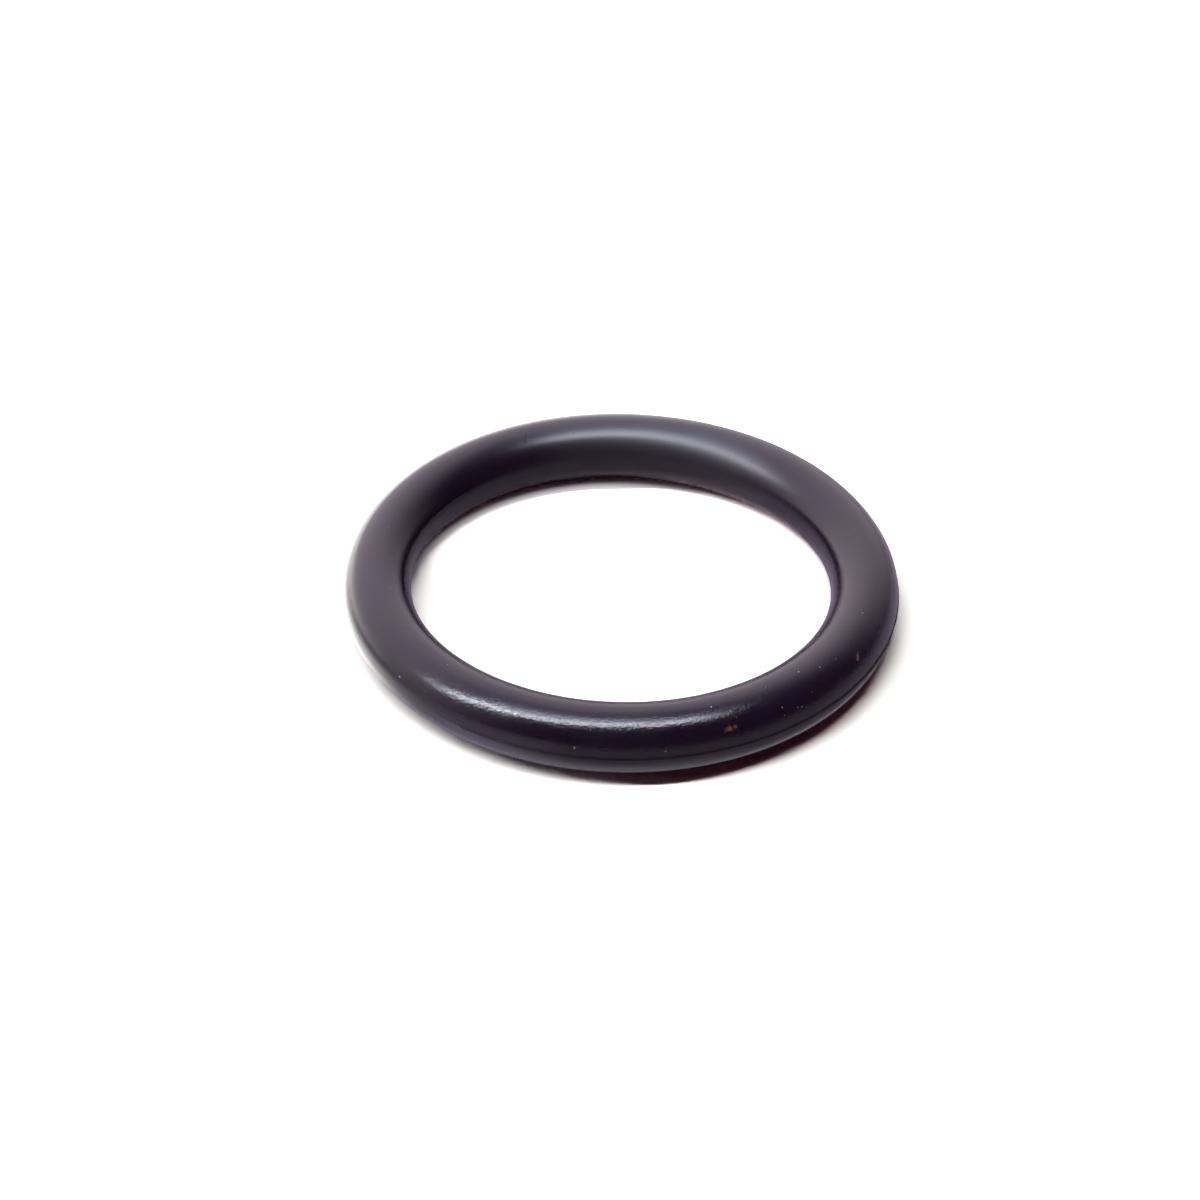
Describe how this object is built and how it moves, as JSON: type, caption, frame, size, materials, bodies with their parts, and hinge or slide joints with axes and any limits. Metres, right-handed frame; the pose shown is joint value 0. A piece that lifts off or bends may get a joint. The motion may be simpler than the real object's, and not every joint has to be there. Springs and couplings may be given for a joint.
{
  "type": "rubber o-ring",
  "caption": "Moulded black rubber ring with a round section and a trimmed moulding line, for sealing a shaft, bore or face groove.",
  "frame": {"origin": "on the ring's axis, at the level of the surface it lies on", "axes": "+Z along the ring's axis, up from the surface it lies on; the ring is the same all round, so X and Y are free"},
  "size_m": [0.029, 0.029, 0.0035],
  "materials": {
    "rubber": "satin moulded rubber, near black, with fine dust"
  },
  "bodies": {
    "root": {"o_ring": "rubber"}
  },
  "joints": []
}
